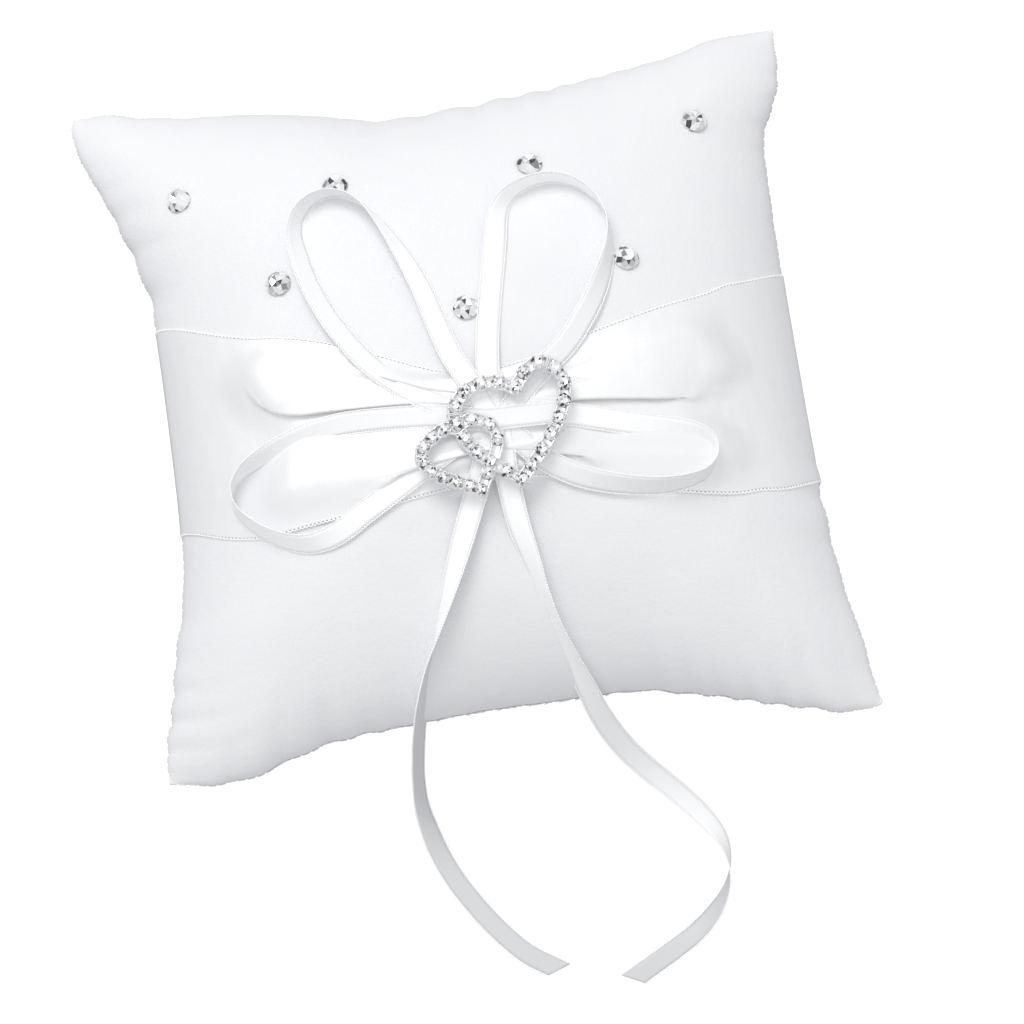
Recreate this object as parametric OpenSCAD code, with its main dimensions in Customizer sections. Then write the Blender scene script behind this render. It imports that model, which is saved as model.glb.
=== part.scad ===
// Ring bearer pillow: a stuffed satin pillow with a gathered wide ribbon, four narrow ribbon
// loops, two ribbon tails that tie the rings on, a double heart buckle and seven loose crystals.
// The pillow lies on its back on z = 0, with its top edge towards +Y and its middle over the origin.

/* [Pillow] */
// Distance between neighbouring corners of the pillow
pillow_span = 204; // [190:1:230]
// How far the lower left corner is drawn in towards the middle
corner_pull = 4; // [0:1:10]
// How far the left side is drawn in at its middle
left_bow = 14.5; // [4:0.5:20]
// How far the right side is drawn in at its middle
right_bow = 9; // [4:0.5:20]
// How far the top side is drawn in at its middle
top_bow = 14; // [4:0.5:20]
// How far the bottom side is drawn in at its middle
bottom_bow = 10; // [4:0.5:20]
// Height of the side seams above the surface that the pillow lies on
seam_height = 29; // [24:1:40]
// Rise of the front panel from the seams to the crown
front_rise = 33; // [28:1:40]
// Depth of the back panel below the seams, before the surface flattens it
back_depth = 31; // [26:1:40]
// Thickness of the lined satin of both panels
panel_thickness = 0.5; // [0.3:0.1:1]

/* [Wide ribbon] */
// Share of the pillow's height that half the ribbon covers at the side seams
band_half_width = 0.3; // [0.2:0.01:0.35]
// The same share at the gathers in the middle
gathered_half_width = 0.17; // [0.1:0.01:0.2]
// How far the gathers are drawn down below the ribbon's ends, as a share of half the pillow's height
gather_drop = 0.155; // [0:0.005:0.2]
// Height of the two puffs beside the gathers
puff_height = 4; // [0:0.5:6]

/* [Narrow ribbon] */
// Width of the narrow ribbon
ribbon_width = 6; // [4:0.5:7]
// Thickness of the narrow ribbon's solid
ribbon_thickness = 0.8; // [0.4:0.1:1]

/* [Buckle] */
// Width of the cast heart frames
frame_width = 4.2; // [3.5:0.1:4.5]
// Height of the cast heart frames
frame_height = 1.8; // [1.4:0.1:2]
// Diameter of the large heart's stones
large_stone = 4; // [3:0.1:4.4]
// Diameter of the small heart's stones
small_stone = 3.6; // [3:0.1:4]

/* [Crystals] */
// Diameter of the loose flat-back crystals
crystal_diameter = 7.2; // [5:0.1:8]
// Height of the crystals
crystal_height = 2.4; // [1.6:0.1:3]

/* [Hidden] */

satin = "white";
ribbon_satin = "ghostwhite";
silver = "silver";
glass = "lightcyan";
thread = "gainsboro";

half = pillow_span / 2;
// Corners of the pillow, anticlockwise from the lower left
corners = [[corner_pull - half, corner_pull - half], [half, -half], [half, half], [-half, half]];
corner_droop = 4;
// Shape of each side, as [place along it, share of its bow]. The corners stand out as ears
left_shape = [[-1, 0], [-0.9, 0.06], [-0.8, 0.25], [-0.65, 0.47], [-0.5, 0.75], [-0.3, 0.93],
              [0, 1], [0.3, 1.02], [0.4, 0.98], [0.5, 0.85], [0.68, 0.48], [0.77, 0.25],
              [0.87, 0], [0.96, -0.08], [1, 0]];
right_shape = [[-1, 0], [-0.91, 0.2], [-0.82, 0.3], [-0.73, 0.52], [-0.64, 0.68], [-0.5, 0.83],
               [-0.3, 0.94], [0, 1], [0.3, 1.02], [0.5, 0.98], [0.62, 0.94], [0.69, 0.8],
               [0.78, 0.33], [0.86, 0.09], [1, 0]];
top_shape = [[-1, 0], [-0.9, 0.05], [-0.73, 0.33], [-0.5, 0.51], [-0.31, 0.75], [-0.15, 1.02],
             [0, 1], [0.2, 0.89], [0.37, 0.78], [0.55, 0.58], [0.72, 0.35], [0.81, 0.12], [1, 0]];
bottom_shape = [[-1, 0], [-0.88, -0.22], [-0.8, -0.18], [-0.71, 0], [-0.62, 0.35], [-0.5, 0.62],
                [-0.37, 0.75], [-0.12, 0.95], [0.1, 1], [0.32, 1.05], [0.4, 0.93], [0.56, 0.6],
                [0.72, 0.19], [0.8, 0.03], [0.88, -0.16], [0.96, -0.12], [1, 0]];
// Exponents of the crown's profile
crown_power = 2.4;
crown_round = 0.6;
panel_steps = 24;

// Gaps that keep the layers apart
panel_gap = 0.1;
stuffing_gap = 0.7;
ribbon_gap = 0.3;

band_thickness = 0.5;
// How far the ribbon's middle line lies below the pillow's, and how much it falls to the right
band_drop = 0.03;
band_fall = 0.03;
// Half length of the gathered stretch, as a share of half the pillow's width
gather_reach = 0.42;
// Middle of each puff on the pillow's surface, as [across, up]
puffs = [[-0.52, 0], [0.6, 0.08]];
puff_size = [0.17, 0.09];

thread_radius = 0.25;
// Below this height a cut leaves the underside flat
floor_cut = 0.3;

// Where the crystals sit on the front panel, as [across, up] from -1 to 1
crystal_places = [
    [-0.79, 0.67], [-0.59, 0.345], [-0.325, 0.66], [-0.03, 0.2],
    [0.26, 0.66], [0.49, 0.29], [0.765, 0.71],
];
crystal_girdle = 0.5;
crystal_table = 0.5;
glue_height = 0.25;

// The buckle lies in the middle of the gathers and follows the pillow's slope there
buckle_place = [5, -18, 66.2];
buckle_tilt = 4;
// Points along the middle of the heart frames; the left side runs down from the cleft to the tip,
// and the right side runs back up
large_left = [[6, 8], [0, 10.5], [-7, 9.3], [-11.5, 3.5], [-9.5, -5], [-4, -11.5], [4.5, -18]];
large_right = [[4.5, -18], [11, -10.5], [17, -2], [19.7, 7], [17, 13], [11.5, 14], [6, 8]];
small_left = [[-11.5, -1.5], [-14.5, -1], [-18.5, -3], [-21.8, -6.5], [-21.3, -11], [-17.5, -14.3],
              [-12, -17], [-7, -19.5]];
small_right = [[-7, -19.5], [-4.4, -14.5], [-1.8, -9.5], [-0.6, -4.5], [-3.5, -0.5], [-8, 0.6],
               [-11.5, -1.5]];
heart_steps = 5;
stone_sides = 10;
stone_height = 1.3;
stone_table = 0.55;
// Stones along each side of a heart
large_side_stones = 10;
small_left_stones = 9;
small_right_stones = 6;

// Routes of the narrow ribbons, as [x, y, z, roll]. Roll turns the ribbon about its route: 0 lies
// flat, 90 stands on edge, 180 lies flat with the other face up. Each loop runs anticlockwise.
upper_left_route = [
    [3.5, -17.5, 65, 180], [-1, -6, 65.2, 178], [-5, 3, 64.5, 172], [-8, 14, 63.3, 165],
    [-10.5, 24, 62.8, 158], [-14, 34, 62, 145], [-18, 43, 61, 125], [-22.5, 51, 59.8, 108],
    [-27, 55.5, 58.5, 95], [-32.5, 57.5, 57.5, 85], [-38, 56, 57.2, 70], [-42, 52, 57, 55],
    [-43.5, 46.5, 57.2, 42], [-43, 40, 58, 30], [-41.5, 32, 59, 25], [-38.5, 23, 60.2, 22],
    [-34.5, 14.5, 61.4, 18], [-28.5, 5, 62.4, 15], [-21, -3, 63.2, 10], [-12.5, -9.5, 64.3, 5],
    [1.5, -17.2, 64.9, 0],
];
upper_right_route = [
    [6.8, -17.5, 65, 180], [14.5, -9, 65, 178], [20, -4, 64.5, 172], [27, 2, 63.8, 165],
    [33, 9.5, 63, 158], [37.5, 16.5, 62.3, 148], [41, 23.5, 61.8, 130], [43.3, 30, 61.2, 112],
    [44, 37, 60.4, 100], [42.8, 43, 59.8, 95], [39, 48.5, 59.2, 88], [34, 52, 58.8, 82],
    [28, 53.3, 58.8, 78], [22, 52, 59.3, 72], [17, 49, 60, 58], [13.8, 44, 60.6, 35],
    [12, 37, 61, 15], [10.3, 29, 61.6, 6], [8.3, 20, 62.4, 3], [6, 9, 63.2, 0],
    [4.5, -2, 64.2, 0], [3.8, -16.5, 64.9, 0],
];
lower_left_route = [
    [23, -17.8, 64.8, 0], [17, -17.7, 65.4, 0], [10, -17.6, 65.6, 0], [3.5, -17.5, 65.6, 0],
    [-2.5, -16.5, 65.4, 0], [-9, -14.8, 64.9, 2], [-17, -13.5, 64, 5], [-27, -12.5, 62.8, 8],
    [-37, -12, 61.4, 12], [-46, -12.8, 59.6, 20], [-54, -14.5, 57.3, 32], [-61, -16.8, 55, 50],
    [-66.5, -19.5, 52.8, 68], [-70, -23.5, 51, 85], [-70, -28.5, 50.6, 95], [-67, -33.5, 51.8, 102],
    [-62.5, -38, 53.2, 110], [-57, -41.5, 54.6, 118], [-51.5, -43.3, 55.8, 130],
    [-46, -43, 56.8, 148], [-40.5, -41, 57.8, 162], [-34.5, -37.5, 59, 170], [-28, -34, 60.2, 175],
    [-20.5, -30, 61.6, 178], [-12, -25.5, 63.4, 180], [1.5, -18.3, 64.9, 180],
];
lower_right_route = [
    [6.5, -18.5, 64.9, 180], [13, -27, 63.8, 176], [19, -32, 62.6, 165], [26, -36, 61.6, 150],
    [34, -38.8, 61, 138], [42.5, -40.6, 60.3, 128], [50, -41, 59.2, 120], [56.5, -40, 57.9, 110],
    [61.2, -38, 56.8, 100], [64, -34.6, 56.2, 90], [64.3, -30.8, 56.4, 80],
    [61.8, -27.7, 57.1, 60], [55.5, -25.4, 58.5, 38], [46, -23.5, 60.2, 22], [37, -21.3, 61.8, 12],
    [27, -18.8, 63.2, 6], [17, -17, 64.6, 2], [8, -17, 65, 0],
];
left_tail_route = [
    [4, -18, 64.9, 0], [0, -29, 64, 0], [-3.5, -37, 62.4, -4], [-7.5, -46, 60.6, -12],
    [-11.5, -55, 58.4, -28], [-15.5, -64, 55.2, -52], [-19.5, -73, 50.6, -78],
    [-23, -80.5, 45.2, -98], [-25.7, -88, 38.5, -112], [-27.2, -93, 29.5, -118],
    [-28.2, -97, 18, -120], [-28.9, -101.5, 8.5, -124], [-29, -107.5, 3.6, -134],
    [-28, -113.5, 2.2, -150], [-26, -121, 1.2, -166], [-22.8, -129, 0.7, -175],
    [-18, -137.5, 0.5, -180], [-12.5, -145.5, 0.5, -180], [-5.5, -153.5, 0.5, -180],
    [3, -159.5, 0.5, -180],
];
right_tail_route = [
    [6, -18, 64.9, 0], [5.5, -30, 63.8, -2], [6, -38, 62.2, -8], [7, -47, 60.2, -22],
    [9, -56, 57.6, -45], [11.2, -65, 54.2, -66], [13.8, -73.5, 49.8, -74],
    [16.8, -81.5, 43.8, -62], [20, -88.5, 36, -42], [23, -94, 27, -30], [26.5, -98, 17.5, -22],
    [31, -102.3, 9, -14], [36.5, -107.2, 3.6, -6], [42.5, -113, 1.6, 4], [48, -119.5, 1.4, 14],
    [52, -126, 2.4, 32], [54, -132, 3.3, 62], [54, -138.5, 3.6, 90], [51.8, -144.5, 3.3, 118],
    [47.5, -150, 2.3, 146], [42, -154.5, 1.2, 166], [36, -158, 0.6, 176], [29.5, -161.5, 0.5, 180],
    [23, -165, 0.5, 180],
];
ribbon_sides = 8;

function unit(v) = v / norm(v);

// Place on the pillow's plan: u runs from the left side, -1, to the right, 1, and v runs up
function plan(u, v) =
    corners[0] * (1 - u) * (1 - v) / 4 + corners[1] * (1 + u) * (1 - v) / 4
    + corners[2] * (1 + u) * (1 + v) / 4 + corners[3] * (1 - u) * (1 + v) / 4
    + [(left_bow * lookup(v, left_shape) * (1 - u) - right_bow * lookup(v, right_shape) * (1 + u)) / 2,
       (bottom_bow * lookup(u, bottom_shape) * (1 - v) - top_bow * lookup(u, top_shape) * (1 + v)) / 2];

// Profile of a panel, from 0 at the seams to 1 in the middle
function rounded(t) = max(0, 1 - pow(abs(t), crown_power));
function crown(u, v) = pow(rounded(u) * rounded(v), crown_round);
function seam_z(u, v) = seam_height - corner_droop * pow(abs(u * v), 4);

// Point of a layer that rises by rise over the seams, drawn in by inset at the sides
function layer_point(u, v, rise, inset, shift) =
    let (p = plan(u, v) * (1 - inset / half))
    [p.x, p.y, seam_z(u, v) + shift + rise * crown(u, v)];
function front_point(u, v, lift = 0) = layer_point(u, v, front_rise, 0, lift);
function front_normal(u, v) =
    let (d = 0.02)
    unit(cross(front_point(u + d, v) - front_point(u - d, v),
               front_point(u, v + d) - front_point(u, v - d)));

// Steps from -1 to 1 that lie closer together towards both ends
function spread(i) = let (t = 2 * i / panel_steps - 1) 0.35 * t + 0.65 * sin(90 * t);
function panel_grid(rise, inset, shift, lowest) =
    [for (j = [0:panel_steps]) [for (i = [0:panel_steps])
        let (p = layer_point(spread(i), spread(j), rise, inset, shift))
        [p.x, p.y, max(p.z, lowest)]]];

// Closed solid between an upper and a lower grid of points, both seen from above
module between(upper, lower) {
    rows = len(upper);
    cols = len(upper[0]);
    count = rows * cols;
    rim = concat(
        [for (c = [0:cols - 2]) c],
        [for (r = [0:rows - 2]) r * cols + cols - 1],
        [for (c = [cols - 1:-1:1]) (rows - 1) * cols + c],
        [for (r = [rows - 1:-1:1]) r * cols]
    );
    cells = [for (r = [0:rows - 2], c = [0:cols - 2]) r * cols + c];
    polyhedron(
        points = concat([for (row = upper) each row], [for (row = lower) each row]),
        faces = concat(
            [for (a = cells) [a, a + cols, a + cols + 1]],
            [for (a = cells) [a, a + cols + 1, a + 1]],
            [for (a = cells) [a, a + cols + 1, a + cols] + [count, count, count]],
            [for (a = cells) [a, a + 1, a + cols + 1] + [count, count, count]],
            [for (i = [0:len(rim) - 1]) let (a = rim[i], b = rim[(i + 1) % len(rim)])
                each [[a, b, b + count], [a, b + count, a + count]]]
        )
    );
}

// Flat tube swept along a route of [x, y, z, roll], open with two ends or closed on itself
module sweep(route, width, thickness, sides, closed = false) {
    count = len(route);
    place = [for (p = route) [p.x, p.y, p.z]];
    before = [for (i = [0:count - 1]) closed ? (i + count - 1) % count : max(i - 1, 0)];
    after = [for (i = [0:count - 1]) closed ? (i + 1) % count : min(i + 1, count - 1)];
    points = [for (i = [0:count - 1])
        let (heading = unit(place[after[i]] - place[before[i]]),
             side = unit(cross(heading, [0, 0, 1])),
             up = cross(side, heading),
             wide = cos(route[i][3]) * side + sin(route[i][3]) * up,
             thin = cross(heading, wide))
        for (k = [0:sides - 1])
            place[i] + wide * cos(360 * k / sides) * width / 2
                     + thin * sin(360 * k / sides) * thickness / 2];
    spans = closed ? count : count - 1;
    faces = [for (i = [0:spans - 1], k = [0:sides - 1])
        let (here = i * sides,
             next = (i + 1) % count * sides,
             turn = (k + 1) % sides)
        each [[here + k, next + k, next + turn], [here + k, next + turn, here + turn]]];
    ends = closed ? [] : [
        [for (k = [0:sides - 1]) k],
        [for (k = [sides - 1:-1:0]) (count - 1) * sides + k]
    ];
    polyhedron(points = points, faces = concat(faces, ends));
}

module ribbon(route) {
    color(ribbon_satin) sweep(route, ribbon_width, ribbon_thickness, ribbon_sides);
}

// Straight piece of thread between two points
module stitch(from, to) {
    run = to - from;
    translate(from)
        rotate([0, acos(run.z / norm(run)), atan2(run.y, run.x)])
            cylinder(h = norm(run), r = thread_radius, $fn = 16);
}

// Smooth curve through points, with steps points to each stretch and without its last point
function curve(points, steps) =
    let (last = len(points) - 1)
    [for (i = [0:last - 1])
        let (b = points[i],
             c = points[i + 1],
             a = i == 0 ? 2 * b - c : points[i - 1],
             d = i == last - 1 ? 2 * c - b : points[i + 2])
        for (s = [0:steps - 1])
            let (t = s / steps)
            ((2 * b) + (c - a) * t + (2 * a - 5 * b + 4 * c - d) * t * t
             + (3 * b - a - 3 * c + d) * t * t * t) / 2];

// Distance along a line of points up to each of them
function run_lengths(points) =
    [for (i = 0, s = 0; i < len(points);
          i = i + 1, s = s + (i < len(points) ? norm(points[i] - points[i - 1]) : 0)) s];
// Evenly spaced places along one side of a heart, from its start, as many as count
function along(side, count) =
    let (points = concat(curve(side, heart_steps), [side[len(side) - 1]]),
         lengths = run_lengths(points),
         xs = [for (i = [0:len(points) - 1]) [lengths[i], points[i].x]],
         ys = [for (i = [0:len(points) - 1]) [lengths[i], points[i].y]],
         total = lengths[len(lengths) - 1])
    [for (k = [0:count - 1]) [lookup(total * k / count, xs), lookup(total * k / count, ys)]];

large_places = concat(along(large_left, large_side_stones), along(large_right, large_side_stones));
// The small heart shares the stones where the two hearts cross
small_places = [
    for (p = concat(along(small_left, small_left_stones), along(small_right, small_right_stones)))
        if (min([for (q = large_places) norm(p - q)]) > large_stone * 0.75) p
];

module front_panel() {
    color(satin)
        between(
            panel_grid(front_rise, 0, panel_gap, 0),
            panel_grid(front_rise - panel_thickness, 2 * panel_thickness, panel_gap, 0)
        );
}

module back_panel() {
    color(satin)
        difference() {
            between(
                panel_grid(panel_thickness - back_depth, 2 * panel_thickness, -panel_gap,
                           panel_thickness),
                panel_grid(-back_depth, 0, -panel_gap, -floor_cut)
            );
            translate([0, 0, -half])
                cube([pillow_span, pillow_span, 2 * half], center = true);
        }
}

module stuffing() {
    color("whitesmoke")
        between(
            panel_grid(front_rise - 2 * stuffing_gap, 4 * stuffing_gap, panel_thickness, 0),
            panel_grid(2 * stuffing_gap - back_depth, 4 * stuffing_gap, -panel_thickness,
                       panel_thickness + stuffing_gap)
        );
}

module seam_thread() {
    inset = 1.9;
    side_steps = 16;
    steps = [for (i = [0:side_steps - 1]) 2 * i / side_steps - 1];
    around = concat(
        [for (t = steps) layer_point(t, -1, 0, inset, 0)],
        [for (t = steps) layer_point(1, t, 0, inset, 0)],
        [for (t = steps) layer_point(-t, 1, 0, inset, 0)],
        [for (t = steps) layer_point(-1, -t, 0, inset, 0)]
    );
    color(thread)
        sweep([for (p = around) [p.x, p.y, p.z, 0]], 2 * thread_radius, 2 * thread_radius, 6, true);
}

module closing_stitches() {
    stitches = 12;
    reach = 0.26;
    rise = [0.6, -0.5, 1.2];
    color(thread)
        for (i = [0:stitches - 1]) {
            foot = layer_point(reach * (2 * i / (stitches - 1) - 1), -1, 0, 0, 0) - [0, thread_radius, 0];
            stitch(foot - rise / 2, foot + rise / 2);
        }
}

// How strongly the wide ribbon is gathered: 1 in the middle, falling to 0 towards the sides
function gather(u) = exp(-pow(u / gather_reach, 2));
function band_middle(u) = -gather_drop * (1 - pow(abs(u), 2.2)) - band_drop - band_fall * u;
function band_half(u) = band_half_width - (band_half_width - gathered_half_width) * gather(u);
function puff(u, v) = puff_height * max([for (p = puffs)
    exp(-pow((u - p.x) / puff_size.x, 2) - pow((v - p.y) / puff_size.y, 2))]);
// Point of the wide ribbon: across runs from its lower edge, -1, to its upper edge, 1
function band_point(u, across, lift) =
    let (v = band_middle(u) + across * band_half(u))
    front_point(u, v, panel_gap + lift);

module wide_ribbon() {
    long_steps = 36;
    cross_steps = 10;
    us = [for (i = [0:long_steps]) 2 * i / long_steps - 1];
    cs = [for (j = [0:cross_steps]) 2 * j / cross_steps - 1];
    color(ribbon_satin)
        between(
            [for (c = cs) [for (u = us)
                band_point(u, c, ribbon_gap + band_thickness
                           + puff(u, band_middle(u) + c * band_half(u)))]],
            [for (c = cs) [for (u = us) band_point(u, c, ribbon_gap)]]
        );
}

module gather_stitches() {
    stitches = 6;
    stitch_share = 0.55;
    u = buckle_place.x / half;
    lift = ribbon_gap + band_thickness + thread_radius + 0.1;
    color(thread)
        for (i = [0:stitches - 1]) {
            start = 2 * (i + 0.2) / stitches - 1;
            stitch(band_point(u, start, lift),
                   band_point(u, start + 2 * stitch_share / stitches, lift));
        }
}

module loop_binding() {
    turns = 5;
    turn_pitch = 0.6;
    binding_length = 7;
    color(thread)
        for (i = [0:turns - 1])
            translate([buckle_place.x - binding_length / 2,
                       buckle_place.y + turn_pitch * (i - (turns - 1) / 2),
                       buckle_place.z - thread_radius])
                rotate([0, 90, 0])
                    cylinder(h = binding_length, r = thread_radius, $fn = 16);
}

module on_buckle() {
    translate(buckle_place) rotate([buckle_tilt, 0, 0]) children();
}

module heart_ring(left, right) {
    outline = concat(curve(left, heart_steps), curve(right, heart_steps));
    difference() {
        offset(r = frame_width / 2, $fn = 24) polygon(outline);
        offset(r = -frame_width / 2, $fn = 24) polygon(outline);
    }
}

module buckle_frame() {
    color(silver)
        on_buckle()
            linear_extrude(frame_height)
                union() {
                    heart_ring(large_left, large_right);
                    heart_ring(small_left, small_right);
                }
}

module stones(places, diameter) {
    color(glass)
        on_buckle()
            for (p = places)
                translate([p.x, p.y, frame_height])
                    cylinder(h = stone_height, d1 = diameter, d2 = diameter * stone_table,
                             $fn = stone_sides);
}

module large_heart_stones() {
    stones(large_places, large_stone);
}

module small_heart_stones() {
    stones(small_places, small_stone);
}

// Thread loops that pass over the frames between two stones and down on both sides
module buckle_stitches() {
    loop_radius = frame_width / 2 + 0.5;
    // Stones that a loop follows, as positions in the list of the large or the small stones
    spots = [[large_places, 4], [large_places, 13], [large_places, 17], [small_places, 4]];
    color(thread)
        on_buckle()
            for (spot = spots) {
                a = spot[0][spot[1]];
                b = spot[0][spot[1] + 1];
                middle = (a + b) / 2;
                translate([middle.x, middle.y, 0])
                    rotate([90, 0, atan2(b.y - a.y, b.x - a.x) + 90])
                        rotate_extrude(angle = 180, $fn = 32)
                            translate([loop_radius, 0])
                                circle(r = thread_radius, $fn = 16);
            }
}

module on_front(place, lift) {
    n = front_normal(place.x, place.y);
    translate(front_point(place.x, place.y, panel_gap) + n * lift)
        rotate([0, acos(n.z), atan2(n.y, n.x)])
            children();
}

module crystal(place) {
    color(glass)
        on_front(place, ribbon_gap + glue_height) {
            cylinder(h = crystal_girdle, d = crystal_diameter, $fn = 32);
            translate([0, 0, crystal_girdle])
                cylinder(h = crystal_height - crystal_girdle, d1 = crystal_diameter,
                         d2 = crystal_diameter * crystal_table, $fn = 32);
        }
}

module crystal_glue() {
    color("snow")
        for (place = crystal_places)
            on_front(place, ribbon_gap)
                cylinder(h = glue_height, d = crystal_diameter * 0.7, $fn = 32);
}

front_panel();
back_panel();
stuffing();
seam_thread();
closing_stitches();
wide_ribbon();
gather_stitches();
ribbon(upper_left_route);  // upper_left_loop
ribbon(upper_right_route);  // upper_right_loop
ribbon(lower_left_route);  // lower_left_loop
ribbon(lower_right_route);  // lower_right_loop
ribbon(left_tail_route);  // left_tail
ribbon(right_tail_route);  // right_tail
loop_binding();
buckle_frame();
large_heart_stones();
small_heart_stones();
buckle_stitches();
crystal(crystal_places[0]);  // crystal_1
crystal(crystal_places[1]);  // crystal_2
crystal(crystal_places[2]);  // crystal_3
crystal(crystal_places[3]);  // crystal_4
crystal(crystal_places[4]);  // crystal_5
crystal(crystal_places[5]);  // crystal_6
crystal(crystal_places[6]);  // crystal_7
crystal_glue();
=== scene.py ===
"""Looks of a ring bearer pillow: satin cover, ribbons, heart buckle and crystals, in metres."""

import math

import bpy
import numpy as np
from mathutils import Matrix, Vector


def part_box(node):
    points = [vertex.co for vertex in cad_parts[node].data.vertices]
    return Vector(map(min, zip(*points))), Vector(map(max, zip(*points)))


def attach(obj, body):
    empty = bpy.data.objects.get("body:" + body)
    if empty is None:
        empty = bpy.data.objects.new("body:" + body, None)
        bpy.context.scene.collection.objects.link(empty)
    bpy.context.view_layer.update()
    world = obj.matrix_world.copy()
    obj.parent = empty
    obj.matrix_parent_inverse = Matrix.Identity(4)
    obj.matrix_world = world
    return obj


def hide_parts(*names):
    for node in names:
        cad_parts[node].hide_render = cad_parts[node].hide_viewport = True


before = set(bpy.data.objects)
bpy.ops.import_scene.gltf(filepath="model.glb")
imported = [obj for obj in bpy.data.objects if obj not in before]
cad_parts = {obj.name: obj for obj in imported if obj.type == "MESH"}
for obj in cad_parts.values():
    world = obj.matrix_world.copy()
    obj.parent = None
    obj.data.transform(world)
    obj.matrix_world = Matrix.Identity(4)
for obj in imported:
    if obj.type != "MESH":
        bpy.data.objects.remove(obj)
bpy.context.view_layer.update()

# Pillow. Its half width, the height of its seams and the rise of its front come from the frame
front_low, front_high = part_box("front_panel")
HALF = front_high.x
CORNER_DROOP = 0.004
SEAM_HEIGHT = front_low.z + CORNER_DROOP
FRONT_RISE = front_high.z - SEAM_HEIGHT
BACK_DEPTH = 0.031
CORNER_PULL = 0.004
LEFT_BOW, RIGHT_BOW, TOP_BOW, BOTTOM_BOW = 0.0145, 0.009, 0.014, 0.01
# Shape of each side, as (place along it, share of its bow). The corners stand out as ears
LEFT_SHAPE = [(-1, 0), (-0.9, 0.06), (-0.8, 0.25), (-0.65, 0.47), (-0.5, 0.75), (-0.3, 0.93),
              (0, 1), (0.3, 1.02), (0.4, 0.98), (0.5, 0.85), (0.68, 0.48), (0.77, 0.25),
              (0.87, 0), (0.96, -0.08), (1, 0)]
RIGHT_SHAPE = [(-1, 0), (-0.91, 0.2), (-0.82, 0.3), (-0.73, 0.52), (-0.64, 0.68), (-0.5, 0.83),
               (-0.3, 0.94), (0, 1), (0.3, 1.02), (0.5, 0.98), (0.62, 0.94), (0.69, 0.8),
               (0.78, 0.33), (0.86, 0.09), (1, 0)]
TOP_SHAPE = [(-1, 0), (-0.9, 0.05), (-0.73, 0.33), (-0.5, 0.51), (-0.31, 0.75), (-0.15, 1.02),
             (0, 1), (0.2, 0.89), (0.37, 0.78), (0.55, 0.58), (0.72, 0.35), (0.81, 0.12), (1, 0)]
BOTTOM_SHAPE = [(-1, 0), (-0.88, -0.22), (-0.8, -0.18), (-0.71, 0), (-0.62, 0.35), (-0.5, 0.62),
                (-0.37, 0.75), (-0.12, 0.95), (0.1, 1), (0.32, 1.05), (0.4, 0.93), (0.56, 0.6),
                (0.72, 0.19), (0.8, 0.03), (0.88, -0.16), (0.96, -0.12), (1, 0)]
# Exponents of the crown's profile
CROWN_POWER, CROWN_ROUND = 2.4, 0.6
PANEL_STEPS = 104
PANEL_THICKNESS = 0.0005
PUCKER_HEIGHT, LUMP_HEIGHT = 0.0016, 0.00028
# The cloth simulation: its frames, how far the slack cloth reaches from the seam, and how far the
# cloth may settle outwards and inwards
SETTLE_FRAMES = 22
SLACK_REACH = 0.014
MOST_RISE, MOST_SINK = 0.0009, 0.003

# Wide ribbon
BAND_WIDTH = 0.06
BAND_LENGTH = 0.21
BAND_THICKNESS = 0.00022
BAND_COLUMNS = 280
PANEL_ROWS, ROLL_ROWS = 26, 9
# Picots as (pitch, reach, radius of the thread)
BAND_PICOTS = (0.0012, 0.0006, 0.00024)
RIBBON_PICOTS = (0.0009, 0.00042, 0.0002)

# Narrow ribbons and the thread that binds them
RIBBON_WIDTH = 0.006
RIBBON_THICKNESS = 0.00025
RIBBON_ROWS = 7
RIBBON_SPACING = 0.0009
TAIL_SLANT, SLANT_REACH = 0.002, 0.01
BINDING_TOP = 0.0649
# Routes as (x, y, z, roll), in millimetres and degrees. Roll 0 lies flat, 90 stands on edge and
# 180 lies the other face up
ROUTE_UNITS = (1000, 1000, 1000, 1)
UPPER_LEFT_ROUTE = [
    (3.5, -17.5, 65, 180), (-1, -6, 65.2, 178), (-5, 3, 64.5, 172), (-8, 14, 63.3, 165),
    (-10.5, 24, 62.8, 158), (-14, 34, 62, 145), (-18, 43, 61, 125), (-22.5, 51, 59.8, 108),
    (-27, 55.5, 58.5, 95), (-32.5, 57.5, 57.5, 85), (-38, 56, 57.2, 70), (-42, 52, 57, 55),
    (-43.5, 46.5, 57.2, 42), (-43, 40, 58, 30), (-41.5, 32, 59, 25), (-38.5, 23, 60.2, 22),
    (-34.5, 14.5, 61.4, 18), (-28.5, 5, 62.4, 15), (-21, -3, 63.2, 10), (-12.5, -9.5, 64.3, 5),
    (1.5, -17.2, 64.9, 0),
]
UPPER_RIGHT_ROUTE = [
    (6.8, -17.5, 65, 180), (14.5, -9, 65, 178), (20, -4, 64.5, 172), (27, 2, 63.8, 165),
    (33, 9.5, 63, 158), (37.5, 16.5, 62.3, 148), (41, 23.5, 61.8, 130), (43.3, 30, 61.2, 112),
    (44, 37, 60.4, 100), (42.8, 43, 59.8, 95), (39, 48.5, 59.2, 88), (34, 52, 58.8, 82),
    (28, 53.3, 58.8, 78), (22, 52, 59.3, 72), (17, 49, 60, 58), (13.8, 44, 60.6, 35),
    (12, 37, 61, 15), (10.3, 29, 61.6, 6), (8.3, 20, 62.4, 3), (6, 9, 63.2, 0), (4.5, -2, 64.2, 0),
    (3.8, -16.5, 64.9, 0),
]
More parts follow.
